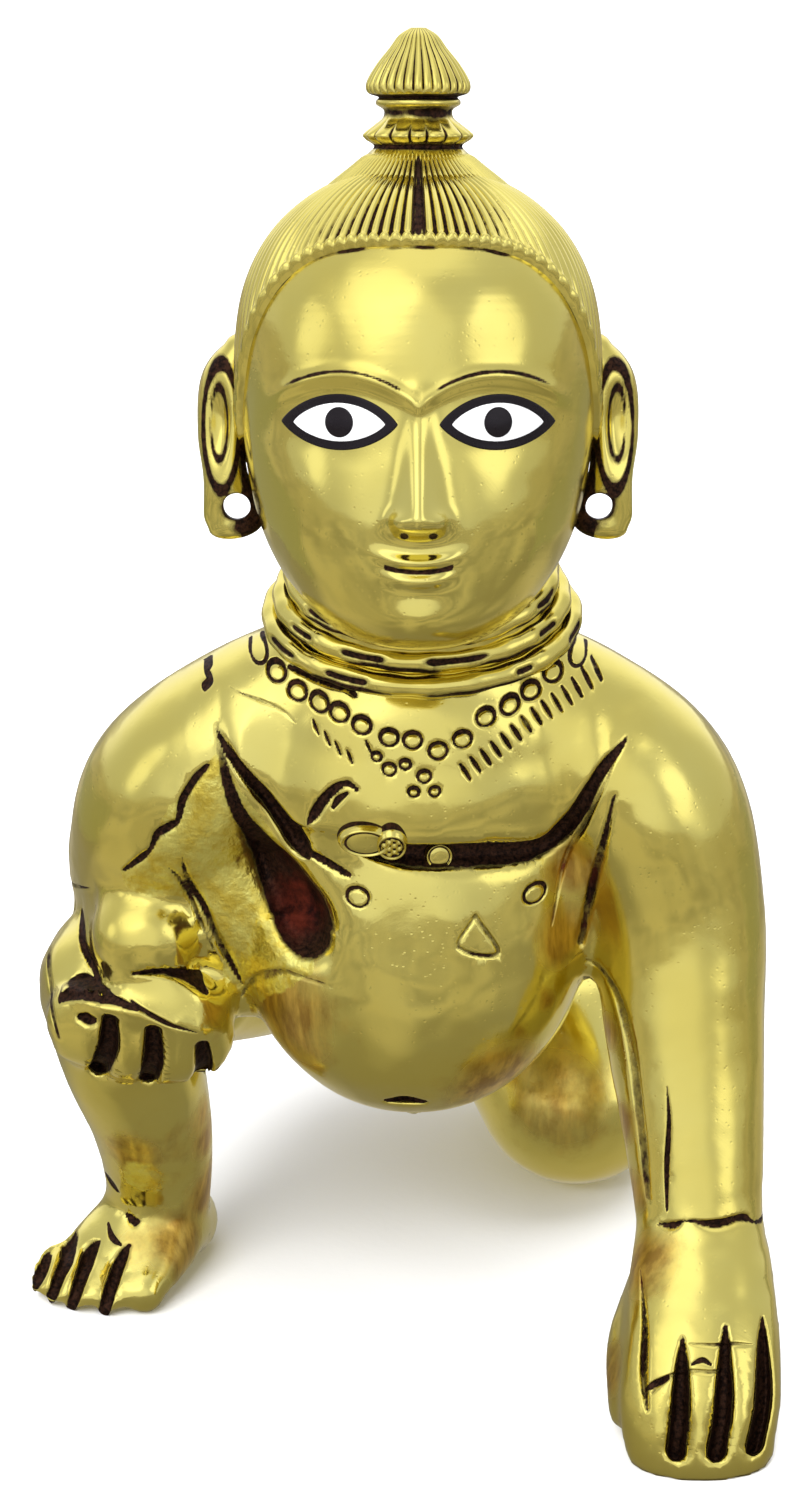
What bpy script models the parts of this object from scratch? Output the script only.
"""Laddu gopal idol: the crawling child Krishna, one solid brass casting.

The child faces -Y and crawls on its left hand, left knee and right foot. Its right hand rests on the
raised right knee and holds a round sweet. The figure's left is +X. The origin is on the floor, at the
middle of the figure's outline seen from above.

A cast figure keeps its pose and proportions as shares of its height, so the places and sizes of the
body are in shares: 1 share is 1/131 of the figure's height. Real sizes that stand by themselves, such
as the earring holes, are in metres at the top.
"""

import math

import bmesh
import bpy
import numpy as np
from mathutils import Matrix, Vector
from mathutils.bvhtree import BVHTree

# Driving sizes, in metres.
FIGURE_HEIGHT = 0.127
EAR_HOLE_DIAMETER = 0.0025
NECK_RING_THICKNESS = 0.0021
SWEET_DIAMETER = 0.0107

SHARES_PER_HEIGHT = 131.0
SHARE = FIGURE_HEIGHT / SHARES_PER_HEIGHT

# How finely the casting is made: the melt's cell in shares, and the triangles that it keeps.
MELT_CELL = 0.6
SMOOTHING_PASSES = 4
CASTING_TRIANGLES = 3440

# The head's own frame: its centre in shares, and how far it is thrown back to look up.
HEAD_CENTRE = Vector((0.3, -9.0, 97.5))
HEAD_PITCH = math.radians(17.0)
HEAD_HALF_HEIGHT = 22.0

# Stations of each limb in shares: x, y, z, and the half sizes along its side axis and across it.
TORSO = [
    (0, 38, 28.5, 14, 12),
    (0, 33, 29, 16.5, 14.5),
    (0, 25, 31.5, 17.5, 15.5),
    (0, 13, 38, 17.5, 15),
    (0, 3, 47, 18, 14.5),
    (0, -4, 57, 18.8, 14.2),
    (0, -5, 65, 17, 12.8),
    (0, -4.4, 71.5, 12.8, 9.8),
    (0, -5.2, 78, 10.8, 9.4),
    (0, -8, 86, 8, 8),
]
# The neck behind the collar, on a line square to the collar's tilted rings.
NECK = [
    (0.7, -4.3, 73.2, 13.7, 10.1),
    (0.7, -4.8, 74.8, 13.7, 10.2),
    (0.7, -5.4, 76.9, 12.6, 9.7),
    (0.7, -6.0, 79.0, 11.5, 9.3),
    (0.7, -6.4, 80.4, 10.4, 8.6),
]
BELLY = [
    (0, -4.6, 62, 14.5, 12),
    (0, -4.8, 54, 16.2, 13.6),
    (0, -5, 46, 16.9, 15.4),
    (0, -5, 39, 16.9, 16.3),
    (0, -5, 32.5, 14.9, 15.2),
    (0, -5, 27.5, 10.8, 11.6),
    (0, -5, 24.9, 6.4, 6.9),
    (0, -5, 23.8, 2.6, 2.8),
]
BUTTOCKS = [((-8.8, 34, 27.5), (12, 13, 13)), ((9, 34, 27), (12.4, 13.4, 13.4))]
RIGHT_UPPER_ARM = [
    (-6, -5, 68, 8, 8),
    (-15, -4.5, 62.3, 9.5, 9.2),
    (-22.5, -3, 55.5, 10.5, 9.6),
    (-25.3, 1, 48, 9.5, 8.8),
    (-26.5, 6, 42, 8, 8),
]
RIGHT_FOREARM = [
    (-26.5, 6.5, 41, 7.5, 7.5),
    (-26.3, 0, 41.5, 6.8, 6.4),
    (-25.6, -5, 41, 6.4, 5.4),
]
RIGHT_ARM_WEB = [
    (-20, -4.5, 61, 2.6, 3.4),
    (-18.8, -6.5, 53, 4.8, 4.6),
    (-17.2, -6.5, 45, 5.4, 5.0),
    (-17, -3, 37, 5.2, 6.0),
]
LEFT_ARM = [
    (6, -5, 68, 8, 8),
    (15, -4.8, 62.3, 9.5, 9.2),
    (22.3, -5.5, 55.5, 10.5, 9.6),
    (25.6, -8, 45, 9, 8.6),
    (26.3, -12, 35, 8, 7.9),
    (27.2, -17, 25, 7, 6.9),
    (27.8, -21.5, 17.5, 6.2, 6.1),
]
LEFT_ARM_WEB = [
    (17, -5, 62, 2.6, 3.4),
    (16.6, -7.6, 56, 2.4, 4.4),
    (16.2, -8.2, 49, 2.6, 4.6),
    (16.4, -7.2, 43, 2.4, 4.4),
    (17.6, -5.6, 39.5, 2.0, 3.4),
]
RIGHT_THIGH = [
    (-9, 32, 27.5, 12, 11.4),
    (-16, 20, 29.5, 11.5, 11),
    (-23.5, 8, 32, 9.5, 9.5),
    (-30, -1, 34, 8, 7),
]
RIGHT_SHIN = [
    (-30.3, -3.4, 34.6, 7, 7.2),
    (-28.2, -3.4, 27, 7, 7.4),
    (-26.6, -0.6, 19, 6.2, 6.6),
    (-26, 1.6, 12, 5.6, 5.8),
    (-26, 2.6, 5.0, 5.0, 5),
]
LEFT_THIGH = [
    (9.5, 35, 25, 12, 12.5),
    (13, 29, 19.5, 12, 12),
    (17, 20.5, 11, 10.5, 10.5),
]
LEFT_SHIN = [
    (17.5, 21.5, 9.4, 9.5, 9),
    (18, 34, 6.4, 8, 7),
    (17.5, 46, 5.0, 6.2, 5.6),
    (17, 53, 4.3, 5, 4.6),
]
LEFT_SOLE = [
    (17, 50, 4.8, 4.6, 4.2),
    (16.7, 57, 3.4, 5.4, 3.2),
    (16.5, 61.5, 2.2, 5, 2.2),
]
RIGHT_FOOT = [
    (-24.4, 6, 3.0, 4.4, 4.2),
    (-26.2, 2, 4.7, 5.4, 5.6),
    (-29.2, -2.2, 3.3, 6.6, 4.0),
    (-30.6, -4.2, 2.1, 6.6, 2.6),
]
LEFT_HAND = [
    (27.8, -21, 17.5, 6.2, 6),
    (27.8, -26, 13.0, 7.2, 5.8),
    (27.6, -31, 8.2, 7.8, 5.8),
    (27.4, -34.6, 4.4, 7.8, 5.2),
    (27.3, -36.2, 1.6, 7.3, 4.4),
]
LEFT_THUMB = [
    (22.8, -23.5, 12, 2.2, 2.4),
    (20.8, -27.5, 7.5, 2.2, 2.6),
    (20.6, -32, 3, 2, 2.2),
]
RIGHT_HAND = [
    (-33.0, -9.6, 33.6, 4.4, 3.2),
    (-29.5, -10.9, 33.5, 5.1, 3.6),
    (-24, -11.2, 32.7, 5.1, 3.6),
    (-20.6, -9.9, 31.9, 4.2, 3.0),
]
RIGHT_THUMB = [
    (-20.2, -10.3, 35.4, 2.7, 2.6),
    (-23, -11.8, 37.2, 2.6, 2.6),
    (-27, -11.6, 38.6, 2.2, 2.2),
]
RIGHT_HAND_RIM = [
    (-34, -11.2, 37.6, 0.7, 0.7),
    (-30, -14.0, 37.7, 0.8, 0.8),
    (-25, -14.8, 36.6, 0.8, 0.8),
    (-20.8, -13.8, 34.8, 0.8, 0.8),
    (-18.6, -11.8, 33.7, 0.7, 0.7),
]
SWEET_CENTRE = (-26.2, -8.4, 42.4)

# Toes: root, tip, and radii at root and tip.
RIGHT_TOES = [
    ((-25.6, -2.6, 3.0), (-27.2, -7.4, 1.9), 2.4, 2.2),
    ((-29.4, -4.0, 3.0), (-30.6, -8.4, 1.7), 1.7, 1.5),
    ((-32.0, -3.6, 3.0), (-33.3, -7.8, 1.7), 1.7, 1.45),
    ((-34.3, -2.8, 2.9), (-35.8, -6.8, 1.6), 1.6, 1.35),
    ((-36.1, -1.6, 2.8), (-37.9, -5.2, 1.5), 1.5, 1.25),
]
TOE_ARCH = 0.7
LEFT_TOES = [
    ((x, y - 5, 3), (x, y, 1.4), 1.25, 1.25)
    for x, y in ((12.4, 65.1), (14.9, 64.9), (17.1, 64.5), (19.2, 63.9), (21.2, 62.9))
]

# The ears in the head's frame, for the figure's left; the right one is its mirror image.
EAR = [
    (16.6, 2.4, 5.2, 1.6, 1.8),
    (18.0, 2.8, 2.2, 2.4, 3.2),
    (18.4, 2.6, -2.5, 2.3, 3.4),
    (18.1, 2.2, -6.4, 2.1, 2.6),
    (17.4, 2.0, -9.6, 2.8, 1.5),
    (17.1, 2.0, -11.2, 2.6, 1.3),
]
EAR_HOLLOW_CENTRE, EAR_HOLLOW_RADII = (19.0, -0.7, -1.6), (1.1, 1.9, 4.0)
EAR_HOLE_CENTRE = (17.0, 2.0, -9.4)

# The turned top knot above the crown: height over the crown and radius, from the top down.
TOPKNOT = [
    (13.1, 0.7),
    (12.4, 1.8),
    (11.2, 2.7),
    (9.7, 3.9),
    (8.1, 4.8),
    (7.1, 4.7),
    (6.7, 3.7),
    (6.4, 3.9),
    (6.0, 3.9),
    (5.5, 3.2),
    (4.8, 3.3),
    (4.2, 4.0),
    (3.3, 5.1),
    (2.8, 4.9),
    (2.2, 4.1),
    (1.5, 4.7),
    (0.3, 6.1),
    (-1.2, 8.0),
    (-2.8, 9.8),
]
TOPKNOT_FLUTES = 16
FLUTE_DEPTH = 0.09

# The combed hair between the hairline and the knot: ribs round the head, and how far they stand out.
HAIR_RIBS = 36
HAIRLINE_ANGLE, KNOT_ANGLE = 45, 80
HAIR_THICKNESS, HAIR_LIFT, RIB_LIFT = 0.6, 0.1, 0.5
# The edge of the hair in the head's frame: degrees round from the front, and height.
HAIR_EDGE = [(0, 15.4), (35, 14.5), (55, 11.5), (68, 6), (78, 1), (100, -5), (130, -9), (180, -10)]

# Grooves cut into the front of the melted casting: half width, depth, and the places they run
# through: x, z and the share of the half width there.
GROOVES = {
    "chest_edge": (1.15, 1.5, [
        (-18.6, 62.5, 0.5), (-13.3, 57.4, 0.9), (-8.5, 54.6, 0.9), (-2, 55.6, 1), (4, 56.6, 1),
        (12, 56.4, 1), (16.6, 59.2, 0.8), (19.6, 62.6, 0.4)]),
    "armpit": (3.0, 4.2, [
        (-18.9, 63.8, 0.12), (-17, 59.6, 0.25), (-14.8, 54.8, 0.42), (-12.8, 51.4, 0.8),
        (-11.2, 48.4, 1), (-10.6, 46.7, 1)]),
    "left_fingers_1": (0.85, 3, [(25.6, 12.0, 0.2), (25.3, 7, 0.9), (25.0, 3.4, 1)]),
    "left_fingers_2": (0.85, 3, [(29.7, 12.8, 0.2), (29.4, 7.4, 0.9), (28.8, 3.4, 1)]),
    "left_fingers_3": (0.85, 3, [(33.3, 12.4, 0.2), (33.3, 7.2, 0.9), (32.5, 3.4, 1)]),
    "left_thumb": (0.6, 1.6, [(21.8, 14.4, 0.3), (22, 10.5, 1), (22.2, 7.2, 0.4)]),
    "right_fingers_1": (1.05, 2.2, [(-29.2, 36.4, 1), (-30.0, 33.0, 1), (-30.8, 29.6, 1)]),
    "right_fingers_2": (1.05, 2.2, [(-24.8, 35.4, 1), (-25.4, 32.2, 1), (-26.0, 28.8, 1)]),
    "right_fingers_3": (0.95, 2.2, [(-20.6, 33.4, 1), (-21.0, 30.6, 1), (-21.4, 28.2, 1)]),
    "thumb_and_sweet": (0.7, 1.6, [(-27.3, 40.7, 0.4), (-24.4, 41.2, 1), (-21.6, 39.6, 0.5)]),
    "right_toes_1": (0.6, 1.4, [(-29.0, 5.5, 0.4), (-30.4, 3.4, 1), (-31.2, 1.4, 1)]),
    "right_toes_2": (0.55, 1.4, [(-32.1, 5.3, 0.4), (-33.5, 3.6, 1), (-34.5, 1.4, 1)]),
    "right_toes_3": (0.5, 1.3, [(-34.4, 4.7, 0.4), (-35.6, 3.6, 1), (-36.5, 1.6, 1)]),
    "right_toes_4": (0.45, 1.2, [(-36.7, 4.3, 0.4), (-37.4, 3.4, 1), (-38.2, 2.0, 1)]),
}

# The pendant and the bead on the chest's edge: centre and radii.
AMULETS = [((-3.6, -17.6, 57.3), (3.2, 1.5, 2.0)), ((2.2, -18.0, 55.2), (1.3, 1.5, 1.3))]

# Neck rings: half width, half depth, height at the sides, from the lowest up.
NECK_RINGS = [(14.3, 10.2, 74.8), (13.2, 9.6, 76.9), (12.1, 9.2, 79.0)]
NECK_RING_CENTRE = (0.7, -4.8)
NECK_RING_FALL = 0.3


def smooth_stations(stations, steps):
    """The stations and, between each two, steps - 1 more on a Catmull-Rom curve through them all."""
    rows = np.array(stations, float)
    rows = np.vstack([2 * rows[0] - rows[1], rows, 2 * rows[-1] - rows[-2]])
    t = np.arange(steps)[:, None] / steps
    spans = [
        0.5
        * (
            2 * b
            + (c - a) * t
            + (2 * a - 5 * b + 4 * c - d) * t**2
            + (3 * b - a - 3 * c + d) * t**3
        )
        for a, b, c, d in zip(rows, rows[1:], rows[2:], rows[3:])
    ]
    return np.vstack([*spans, rows[-2][None]])


def mesh_object(name, points, closed_along=False):
    """A mesh object in metres on rings of points in shares, each ring closed round. The ends are faces."""
    rings, sides = points.shape[:2]
    spans = rings if closed_along else rings - 1
    ring, k = np.meshgrid(np.arange(spans), np.arange(sides), indexing="ij")
    here, there = ring * sides, (ring + 1) % rings * sides
    beside = (k + 1) % sides
    faces = np.stack([here + k, here + beside, there + beside, there + k], -1).reshape(-1, 4).tolist()
    if not closed_along:
        faces += [list(range(sides))[::-1], list(range((rings - 1) * sides, rings * sides))]
    shape = bmesh.new()
    corners = [shape.verts.new(p) for p in points.reshape(-1, 3) * SHARE]
    for face in faces:
        shape.faces.new([corners[i] for i in face])
    bmesh.ops.recalc_face_normals(shape, faces=shape.faces)
    return linked(name, shape)


def linked(name, shape):
    """A new object that shows this bmesh, which is freed."""
    mesh = bpy.data.meshes.new(name)
    shape.to_mesh(mesh)
    shape.free()
    obj = bpy.data.objects.new(name, mesh)
    bpy.context.scene.collection.objects.link(obj)
    return obj


def sections(centre, along, side, width, depth, angle):
    """Ellipses round each centre, width along side and depth across it, square to along."""
    across = side - along * (along @ side)[:, None]
    across /= np.linalg.norm(across, axis=1)[:, None]
    through = np.cross(along, across)
    return (
        centre[:, None]
        + (width[:, None] * np.cos(angle))[..., None] * across[:, None]
        + (depth[:, None] * np.sin(angle))[..., None] * through[:, None]
    )


def tube(name, stations, side=(1, 0, 0), sides=28, steps=5, cap_rings=5):
    """A closed limb: ellipses across a smooth line through the stations, with rounded ends."""
    rows = smooth_stations(stations, steps)
    along = np.gradient(rows[:, :3], axis=0)
    along /= np.linalg.norm(along, axis=1)[:, None]
    turn = np.linspace(0, math.pi / 2, cap_rings + 1)[1:]
    shrink = np.maximum(np.cos(turn), 0.02)[:, None]

    def cap(row, way):
        reach = way * min(row[3], row[4]) * np.sin(turn)
        tangent = along[0] if way < 0 else along[-1]
        return np.hstack([row[:3] + reach[:, None] * tangent, shrink * row[3:]])

    rows = np.vstack([cap(rows[0], -1)[::-1], rows, cap(rows[-1], 1)])
    along = np.vstack([np.repeat(along[:1], cap_rings, 0), along, np.repeat(along[-1:], cap_rings, 0)])
    angle = np.arange(sides) * 2 * math.pi / sides
    points = sections(rows[:, :3], along, np.array(side, float), rows[:, 3], rows[:, 4], angle)
    return mesh_object(name, points)


def ball(name, centre, radii, segments=40):
    """An ellipsoid, from a sphere."""
    shape = bmesh.new()
    bmesh.ops.create_uvsphere(shape, u_segments=segments, v_segments=segments // 2, radius=1)
    bmesh.ops.scale(shape, vec=Vector(radii) * SHARE, verts=shape.verts)
    bmesh.ops.translate(shape, vec=Vector(centre) * SHARE, verts=shape.verts)
    return linked(name, shape)


def toe(name, root, tip, root_radius, tip_radius):
    """A toe: a tapered tube from root to tip, arched halfway."""
    middle = (np.array(root) + np.array(tip)) / 2 + np.array([0, 0, TOE_ARCH])
    half = (root_radius + tip_radius) / 2
    stations = [
        (*root, root_radius, root_radius),
        (*middle, half, half),
        (*tip, tip_radius, tip_radius),
    ]
    return tube(name, stations, sides=14, steps=4, cap_rings=3)


def head_place(points):
    """Points from the head's frame into the figure's, in shares."""
    turn = np.array(Matrix.Rotation(-HEAD_PITCH, 3, "X"))
    return np.asarray(points, float) @ turn.T + np.array(HEAD_CENTRE)


def bump(x, z, at_x, at_z, spread_x, spread_z):
    """A round swelling of height 1 at a place on the face."""
    return np.exp(-(((x - at_x) / spread_x) ** 2) - ((z - at_z) / spread_z) ** 2)


def face_relief(x, z):
    """How far the face stands out at x and z: a calm child's face laid out in equal thirds."""
    eye_x, eye_z = 7.2, -0.6
    side = np.abs(x)
    ridge = np.clip((1.5 - z) / 10.5, 0, 1)
    nose_end = 1 / (1 + np.exp(-(z + 10.4) * 3.2))
    nose = (0.5 + 2.9 * ridge**1.4) * np.exp(-((x / (1.15 + 0.75 * ridge)) ** 2)) * nose_end
    nose = nose * (z < 3.5) + 1.0 * bump(side, z, 1.9, -9.3, 0.9, 0.9)
    brow_z = eye_z + 4.4 - 0.055 * (side - 7.0) ** 2
    brow = 0.55 * np.exp(-(((z - brow_z) / 0.8) ** 2)) * (side < 13.5)
    socket = -0.9 * bump(side, z, eye_x, eye_z, 5.0, 2.6)
    eyeball = 0.9 * bump(side, z, eye_x, eye_z, 3.6, 1.7)
    smile = -13.9 + 0.045 * side**2
    lips = 0.85 * np.exp(-(((z - smile - 0.75) / 0.6) ** 2)) * np.exp(-((side / 3.4) ** 4))
    lips += 0.95 * np.exp(-(((z - smile + 0.95) / 0.7) ** 2)) * np.exp(-((side / 2.9) ** 4))
    chin = 0.9 * bump(x, z, 0, -19, 3.2, 2.0)
    cheeks = 0.5 * bump(side, z, 8.5, -9.0, 4.5, 4.5)
    return nose + brow + socket + eyeball + lips + chin + cheeks


def head_points(sides, up):
    """The head's surface in its own frame: a ring of points, the front one first, at each angle up.

    Each ring is an ellipse, deeper in front low down for the jaw, and fuller behind for the skull.
    The hair stands out a little over its edge.
    """
    key = [-90, -75, -60, -45, -30, -15, 0, 15, 30, 45, 60, 75, 90]
    half = smooth_stations(
        np.array([
            key,
            [0.3, 5.2, 9.2, 12.3, 14.6, 15.9, 16.5, 16.6, 15.8, 13.6, 10.0, 5.4, 0.3],
            [0.3, 6.6, 10.8, 13.6, 15.6, 16.8, 17.5, 17.6, 16.6, 14.0, 10.2, 5.6, 0.3],
            [0.3, 4.6, 8.6, 12.0, 14.8, 16.9, 18.2, 18.6, 17.6, 14.8, 10.6, 5.8, 0.3],
            [7.5, 6.4, 4.8, 3.2, 1.9, 0.9, 0.2, 0, 0, 0, 0, 0, 0],
        ]).T,
        6,
    )
    width, front, back, forward = (np.interp(up, half[:, 0], half[:, i]) for i in (1, 2, 3, 4))
    z = HEAD_HALF_HEIGHT * np.sin(np.radians(up))
    turn = np.arange(sides) * 2 * math.pi / sides
    facing = np.cos(turn)
    x = width[:, None] * np.sin(turn)
    depth = np.where(facing > 0, front[:, None], back[:, None]) * facing
    z = np.repeat(z[:, None], sides, 1)
    out = np.clip(facing * 1.6, 0, 1) * np.cos(np.radians(up))[:, None] ** 0.3
    edge = np.interp(np.degrees(np.arccos(facing)), *np.array(HAIR_EDGE).T)
    hair = 1 + HAIR_THICKNESS / HEAD_HALF_HEIGHT * np.clip((z - edge) / 0.7, 0, 1)
    y = -forward[:, None] - depth * hair - face_relief(x, z) * out
    return np.stack([x * hair, y, z * hair], -1)


def melted(name, objects):
    """One mesh object of all these shapes, run together as cast brass is, and thinned to few faces."""
    joined = bmesh.new()
    for obj in objects:
        joined.from_mesh(obj.data)
        bpy.data.objects.remove(obj)
    raw = linked(name + "_raw", joined)
    melt = raw.modifiers.new("melt", "REMESH")
    melt.mode = "VOXEL"
    melt.voxel_size = MELT_CELL * SHARE
    soften = raw.modifiers.new("soften", "SMOOTH")
    soften.factor = 0.5
    soften.iterations = SMOOTHING_PASSES
    casting = bpy.data.objects.new(name, evaluated_mesh(raw))
    bpy.context.scene.collection.objects.link(casting)
    bpy.data.objects.remove(raw)
    casting.data.shade_smooth()
    thin = casting.modifiers.new("thin", "DECIMATE")
    thin.ratio = CASTING_TRIANGLES / (2 * len(casting.data.polygons))
    casting.data = evaluated_mesh(casting)
    casting.modifiers.clear()
    return casting


def evaluated_mesh(obj):
    """A copy of the object's mesh with its modifiers applied."""
    bpy.context.view_layer.update()
    return bpy.data.meshes.new_from_object(obj.evaluated_get(bpy.context.evaluated_depsgraph_get()))


def front_of(obj):
    """A function that lays rows that start with x and z on the object's front, by rays along +Y.

    Where a line runs off the metal's edge, it stays as deep as its nearest place on the metal.
    """
    tree = BVHTree.FromObject(obj, bpy.context.evaluated_depsgraph_get())

    def laid(rows):
        starts = [Vector((row[0] * SHARE, -1, row[1] * SHARE)) for row in rows]
        hits = [tree.ray_cast(start, Vector((0, 1, 0)))[0] for start in starts]
        on_metal = [i for i, hit in enumerate(hits) if hit is not None]
        depths = np.interp(np.arange(len(hits)), on_metal, [hits[i].y for i in on_metal])
        return [
            np.array(hit or (start.x, y, start.z)) / SHARE for hit, start, y in zip(hits, starts, depths)
        ]

    return laid


def combine(casting, other, operation):
    """Joins other to the casting or cuts it away, and hides it as a helper."""
    step = casting.modifiers.new(other.name, "BOOLEAN")
    step.operation = operation
    step.object = other
    step.solver = "MANIFOLD"
    other.hide_render = True
    other.display_type = "WIRE"
    helpers = bpy.data.collections["helpers"]
    for home in other.users_collection:
        home.objects.unlink(other)
    helpers.objects.link(other)
    other.parent = casting.parent


def body_shapes():
    """The torso, limbs, hands and feet, as overlapping closed tubes and balls."""
    shapes = [
        tube("torso", TORSO),
        tube("neck", NECK),
        tube("belly", BELLY),
        tube("right_upper_arm", RIGHT_UPPER_ARM, side=(0, 1, 0)),
        tube("right_forearm", RIGHT_FOREARM),
        tube("right_arm_web", RIGHT_ARM_WEB),
        tube("left_arm", LEFT_ARM, side=(0, 1, 0)),
        tube("left_arm_web", LEFT_ARM_WEB),
        tube("right_thigh", RIGHT_THIGH, side=(0, 0, 1)),
        tube("right_shin", RIGHT_SHIN),
        tube("left_thigh", LEFT_THIGH),
        tube("left_shin", LEFT_SHIN),
        tube("left_sole", LEFT_SOLE),
        tube("right_foot", RIGHT_FOOT, side=(0.82, -0.57, 0)),
        tube("left_hand", LEFT_HAND),
        tube("left_thumb", LEFT_THUMB),
        tube("right_hand", RIGHT_HAND, side=(0, 0, 1)),
        tube("right_thumb", RIGHT_THUMB, side=(0, 0, 1)),
        tube("right_hand_rim", RIGHT_HAND_RIM, side=(0, 0, 1), sides=10),
    ]
    shapes += [ball(f"buttock_{i}", *place) for i, place in enumerate(BUTTOCKS)]
    sweet_radius = SWEET_DIAMETER / 2 / SHARE
    shapes.append(ball("sweet", SWEET_CENTRE, [sweet_radius] * 3))
    shapes += [toe(f"right_toe_{i}", *row) for i, row in enumerate(RIGHT_TOES)]
    shapes += [toe(f"left_toe_{i}", *row) for i, row in enumerate(LEFT_TOES)]
    shapes += [ball(f"amulet_{i}", *amulet) for i, amulet in enumerate(AMULETS)]
    return shapes


def ear_shape(way):
    """One ear with its long lobe. way is 1 for the figure's left and -1 for its right."""
    stations = np.array(EAR, float)
    stations[:, 0] *= way
    ear = tube("ear", stations, sides=24)
    in_head_frame(ear)
    return ear


def in_head_frame(obj):
    """Moves the object's mesh from the head's frame to its place on the figure."""
    place = Matrix.Translation(HEAD_CENTRE * SHARE) @ Matrix.Rotation(-HEAD_PITCH, 4, "X")
    obj.data.transform(place)


def ear_cutters(way):
    """The cylinder of the earring hole and the hollow of the ear."""
    shape = bmesh.new()
    radius = EAR_HOLE_DIAMETER / 2
    bmesh.ops.create_cone(
        shape, cap_ends=True, segments=20, radius1=radius, radius2=radius, depth=8 * SHARE
    )
    bmesh.ops.rotate(shape, matrix=Matrix.Rotation(math.pi / 2, 3, "X"), verts=shape.verts)
    x, y, z = EAR_HOLE_CENTRE
    bmesh.ops.translate(shape, vec=Vector((way * x, y, z)) * SHARE, verts=shape.verts)
    hole = linked("ear_hole", shape)
    x, y, z = EAR_HOLLOW_CENTRE
    hollow = ball("ear_hollow", (way * x, y, z), EAR_HOLLOW_RADII, segments=16)
    for cutter in (hole, hollow):
        in_head_frame(cutter)
    return hole, hollow


def topknot():
    """The turned and fluted knot of hair on the crown, which narrows to a band at its waist."""
    sides = TOPKNOT_FLUTES * 2
    rows = np.array(TOPKNOT)[::-1]
    ridge = np.where(np.arange(sides) % 2, 1 - FLUTE_DEPTH, 1)
    turn = np.arange(sides) * 2 * math.pi / sides
    radius = rows[:, 1, None] * ridge
    height = np.repeat(rows[:, :1] + HEAD_HALF_HEIGHT, sides, 1)
    points = np.stack([radius * np.sin(turn), -radius * np.cos(turn), height], -1)
    return mesh_object("topknot", head_place(points))


def combed_hair():
    """A ribbed shell of hair over the top of the head, from the hairline up to the knot."""
    shell = head_points(HAIR_RIBS * 2, np.linspace(HAIRLINE_ANGLE, KNOT_ANGLE, 5))
    out = shell.copy()
    out /= np.linalg.norm(out, axis=-1)[..., None]
    rib = np.where(np.arange(HAIR_RIBS * 2) % 2, HAIR_LIFT, RIB_LIFT)
    outer = shell + out * rib[None, :, None]
    floor = shell[[0, -1]] - out[[0, -1]] * 1.5
    points = np.concatenate([floor[:1], outer, floor[1:]])
    return mesh_object("combed_hair", head_place(points))


def neck_ring(name, half_width, half_depth, height):
    """One ring of the collar: a round band on an ellipse that dips towards the front."""
    turn = np.arange(24) * 2 * math.pi / 24
    x, y = half_width * np.sin(turn), -half_depth * np.cos(turn)
    middle_x, middle_y = NECK_RING_CENTRE
    centre = np.stack([middle_x + x, middle_y + y, height + NECK_RING_FALL * y], -1)
    out = np.stack([np.sin(turn), -np.cos(turn), 0 * turn], -1)
    radius = NECK_RING_THICKNESS / 2 / SHARE
    angle = np.arange(6) * 2 * math.pi / 6
    points = (
        centre[:, None]
        + (radius * np.cos(angle))[None, :, None] * out[:, None]
        + (radius * np.sin(angle))[None, :, None] * np.array([0, 0, 1])
    )
    return mesh_object(name, points, closed_along=True)


def groove(name, laid, half_width, depth, places):
    """A cutter that runs along the front, half sunk, like a graver's stroke."""
    rows = smooth_stations(places, 2)
    stations = [
        (*at, depth * share, half_width * share) for at, (_, _, share) in zip(laid(rows), rows)
    ]
    return tube(name, stations, side=(0, 1, 0), sides=8, steps=1, cap_rings=2)


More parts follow.
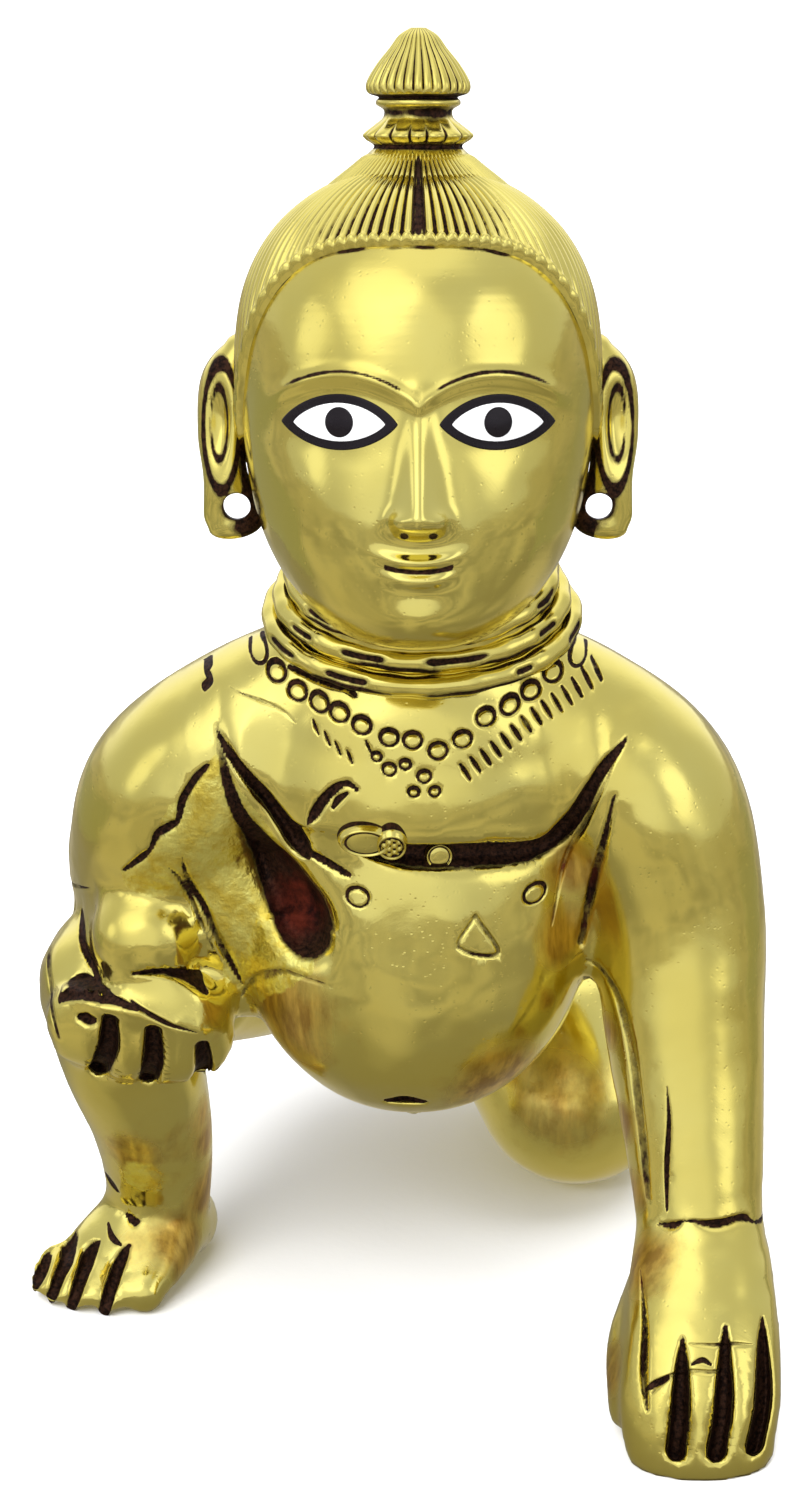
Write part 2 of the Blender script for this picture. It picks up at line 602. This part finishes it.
def floor_cutter():
    """The floor, as a slab that flattens the hand, knee and foot where they stand on it."""
    shape = bmesh.new()
    bmesh.ops.create_cube(shape, size=1)
    bmesh.ops.scale(shape, vec=(200 * SHARE, 300 * SHARE, 20 * SHARE), verts=shape.verts)
    bmesh.ops.translate(shape, vec=(0, 0, -10 * SHARE), verts=shape.verts)
    return linked("floor", shape)


def brass():
    """Polished yellow brass."""
    material = bpy.data.materials.new("polished_brass")
    material.use_nodes = True
    shader = material.node_tree.nodes["Principled BSDF"]
    shader.inputs["Base Color"].default_value = (0.70, 0.58, 0.20, 1)
    shader.inputs["Metallic"].default_value = 1.0
    shader.inputs["Roughness"].default_value = 0.2
    return material


def main():
    for obj in list(bpy.data.objects):
        bpy.data.objects.remove(obj)
    scene = bpy.context.scene
    idol, helpers = (bpy.data.collections.new(name) for name in ("laddu_gopal", "helpers"))
    scene.collection.children.link(idol)
    scene.collection.children.link(helpers)
    standing_point = bpy.data.objects.new("standing_point", None)
    idol.objects.link(standing_point)

    head = mesh_object("head", head_place(head_points(96, np.linspace(-90, 90, 73))))
    casting = melted("laddu_gopal_idol", [*body_shapes(), head, ear_shape(1), ear_shape(-1)])
    scene.collection.objects.unlink(casting)
    idol.objects.link(casting)
    casting.parent = standing_point

    laid = front_of(casting)
    for name, row in GROOVES.items():
        combine(casting, groove(name, laid, *row), "DIFFERENCE")
    for i, ring in enumerate(NECK_RINGS):
        combine(casting, neck_ring(f"neck_ring_{i}", *ring), "UNION")
    combine(casting, combed_hair(), "UNION")
    combine(casting, topknot(), "UNION")
    for way in (1, -1):
        for cutter in ear_cutters(way):
            combine(casting, cutter, "DIFFERENCE")
    combine(casting, floor_cutter(), "DIFFERENCE")
    casting.data.materials.append(brass())

    corners = [Vector(c) for c in evaluated_bounds(casting)]
    middle = (corners[0] + corners[1]) / 2
    standing_point.location = (-middle.x, -middle.y, 0)


def evaluated_bounds(obj):
    """The lowest and highest corners of the object as it stands, modifiers included."""
    mesh = evaluated_mesh(obj)
    points = np.empty(len(mesh.vertices) * 3, np.float32)
    mesh.vertices.foreach_get("co", points)
    bpy.data.meshes.remove(mesh)
    points = points.reshape(-1, 3)
    return points.min(axis=0), points.max(axis=0)


main()
